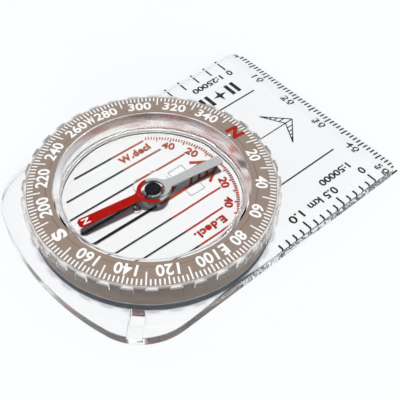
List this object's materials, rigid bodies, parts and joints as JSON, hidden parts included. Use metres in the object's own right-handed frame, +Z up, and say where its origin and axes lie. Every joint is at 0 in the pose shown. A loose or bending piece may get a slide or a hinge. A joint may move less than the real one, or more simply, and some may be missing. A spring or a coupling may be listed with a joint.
{
  "type": "baseplate compass",
  "caption": "Clear map compass with a turning graduated dial, a liquid-filled capsule with a swinging needle, a front ruler bevel and a lanyard hole.",
  "frame": {"origin": "under the middle of the whole object, on the flat face it rests on", "axes": "+Z up out of the dial's face, +Y the direction of travel, +X to the right across the plate"},
  "size_m": [0.0512, 0.0752, 0.0094],
  "materials": {
    "clear_plate": "clear polished acrylic, ink scales on its underside",
    "ring_brown": "brown-grey moulded plastic with white ink",
    "clear_grip": "clear moulded plastic",
    "clear_capsule": "clear polished acrylic",
    "clear_base": "clear polished acrylic",
    "plug": "clear plastic with a dark rim",
    "liquid": "clear damping liquid",
    "pin_steel": "hardened steel, polished tip",
    "jewel": "clear jewel",
    "hub_black": "black moulded plastic",
    "hub_clear": "clear moulded plastic",
    "needle_red": "red enamel on steel",
    "needle_silver": "silver-white enamel on steel",
    "ink_black": "black printed ink",
    "ink_red": "red printed ink",
    "ink_white": "white printed ink, for the bearings on the ring"
  },
  "bodies": {
    "plate": {"baseplate": "clear_plate"},
    "dial": {"graduated_ring": "ring_brown", "grip_rim": "clear_grip", "capsule_cover": "clear_capsule", "capsule_base": "clear_base", "fill_plug": "plug", "damping_liquid": "liquid", "retaining_ring": "ring_brown", "pivot_pin": "pin_steel", "meridian_lines_south": "ink_black", "meridian_lines_north": "ink_red", "orienting_arrow": "ink_red", "declination_marks": "ink_red"},
    "needle": {"needle_north": "needle_red", "needle_south": "needle_silver", "hub_cap": "hub_black", "hub_bush": "hub_clear", "jewel_cup": "jewel"}
  },
  "joints": [
    {"name": "dial_turn", "type": "hinge", "parent": "plate", "child": "dial", "pos_m": [0, -0.01, 0.003], "axis": [0, 0, 1], "continuous": true},
    {"name": "needle_swing", "type": "hinge", "parent": "dial", "child": "needle", "pos_m": [0, -0.01, 0.005], "axis": [0, 0, 1], "continuous": true}
  ]
}
